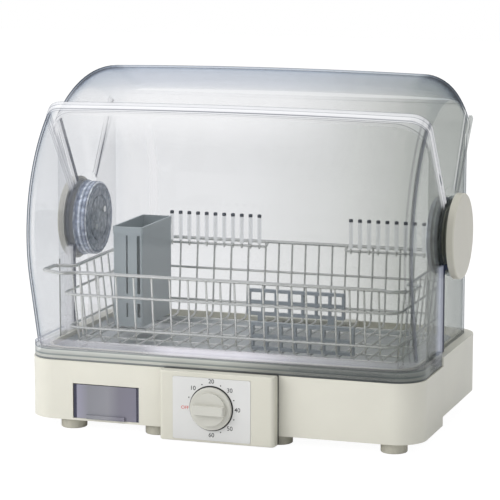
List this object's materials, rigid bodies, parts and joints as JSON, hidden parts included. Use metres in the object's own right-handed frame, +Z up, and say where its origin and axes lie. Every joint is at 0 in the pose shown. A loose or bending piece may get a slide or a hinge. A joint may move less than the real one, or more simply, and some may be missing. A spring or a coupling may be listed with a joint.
{
  "type": "dish dryer",
  "caption": "Countertop dish dryer with a clear swing-up lid, fixed clear rear cover, wire basket, dial timer and pull-out water drawer.",
  "frame": {"origin": "on the surface that the feet stand on, under the middle of the object's overall width and depth", "axes": "+X to the right seen from the front, +Y towards the back, +Z up"},
  "size_m": [0.515, 0.3364, 0.4345],
  "materials": {
    "ivory_plastic": "satin moulded",
    "plate_print": "satin printed sheet",
    "beige_plastic": "satin moulded",
    "smoke_clear": "clear smoky plastic",
    "receiver_clear": "clear smoky plastic",
    "violet_clear": "translucent plastic",
    "foot_rubber": "matt rubber",
    "stainless": "polished wire",
    "tray_steel": "thin sheet",
    "zinc_steel": "zinc plated",
    "sleeve_clear": "clear soft sleeve",
    "tip_dark": "soft cap",
    "box_plastic": "satin moulded",
    "stand_plastic": "satin moulded",
    "inner_plastic": "plain moulded",
    "mica": "mica sheet",
    "heater_wire": "resistance wire"
  },
  "bodies": {
    "base": {"base_housing": "ivory_plastic", "base_bottom_plate": "zinc_steel", "bottom_plate_screws": "zinc_steel", "foot_front_left": "foot_rubber", "foot_front_mid_left": "foot_rubber", "foot_front_mid_right": "foot_rubber", "foot_front_right": "foot_rubber", "foot_rear_left": "foot_rubber", "foot_rear_right": "foot_rubber", "control_box": "ivory_plastic", "face_plate": "plate_print", "timer_body": "inner_plastic", "rear_cover": "smoke_clear", "hub_cap_right": "beige_plastic", "hub_cap_left": "beige_plastic", "hub_drum_right": "violet_clear", "hub_drum_left": "violet_clear", "hub_screws": "zinc_steel", "air_outlet_grille": "ivory_plastic", "fan_housing": "inner_plastic", "motor_stator": "zinc_steel", "motor_bracket_upper": "zinc_steel", "motor_bracket_lower": "zinc_steel", "air_duct": "zinc_steel", "heater_frame": "mica", "heater_coil": "heater_wire", "thermostat": "inner_plastic", "thermal_fuse": "zinc_steel", "terminal_block": "inner_plastic", "cord_bush": "foot_rubber"},
    "lid": {"front_lid": "smoke_clear"},
    "knob": {"timer_shaft": "zinc_steel", "timer_knob": "beige_plastic"},
    "drawer": {"water_receiver": "receiver_clear"},
    "blower": {"impeller": "inner_plastic", "motor_shaft": "zinc_steel", "motor_rotor": "zinc_steel"},
    "tray": {"drain_tray": "tray_steel"},
    "basket": {"basket_rim": "stainless", "basket_mid_ring": "stainless", "basket_low_ring": "stainless", "basket_base_ring": "stainless", "basket_front_wires": "stainless", "basket_rear_wires": "stainless", "basket_floor_wires": "stainless", "basket_right_wires": "stainless", "basket_left_wires": "stainless", "basket_floor_rails": "stainless", "basket_feet": "stainless", "cup_pins_left": "stainless", "cup_sleeves_left": "sleeve_clear", "cup_tips_left": "tip_dark", "cup_pins_right": "stainless", "cup_sleeves_right": "sleeve_clear", "cup_tips_right": "tip_dark"},
    "cutlery": {"cutlery_box": "box_plastic"},
    "stand_front": {"plate_stand_front": "stand_plastic"},
    "stand_rear": {"plate_stand_rear": "stand_plastic"}
  },
  "joints": [
    {"name": "lid_hinge", "type": "hinge", "parent": "base", "child": "lid", "pos_m": [0, 0.04177, 0.236], "axis": [-1, 0, 0], "range_deg": [0, 71]},
    {"name": "knob_turn", "type": "hinge", "parent": "base", "child": "knob", "pos_m": [-0.001, -0.15325, 0.0445], "axis": [0, 1, 0], "range_deg": [0, 270]},
    {"name": "drawer_slide", "type": "slide", "parent": "base", "child": "drawer", "axis": [0, -1, 0], "range_m": [0, 0.09]},
    {"name": "impeller_spin", "type": "hinge", "parent": "base", "child": "blower", "pos_m": [0.164, 0.06775, 0.06], "axis": [0, 0, 1], "continuous": true},
    {"name": "tray_lift", "type": "slide", "parent": "base", "child": "tray", "axis": [0, 0, 1], "range_m": [0, 0.015]},
    {"name": "basket_lift", "type": "slide", "parent": "tray", "child": "basket", "axis": [0, 0, 1], "range_m": [0, 0.05]},
    {"name": "cutlery_lift", "type": "slide", "parent": "basket", "child": "cutlery", "axis": [0, 0, 1], "range_m": [0, 0.06]},
    {"name": "stand_front_lift", "type": "slide", "parent": "basket", "child": "stand_front", "axis": [0, 0, 1], "range_m": [0, 0.04]},
    {"name": "stand_rear_lift", "type": "slide", "parent": "basket", "child": "stand_rear", "axis": [0, 0, 1], "range_m": [0, 0.04]}
  ]
}
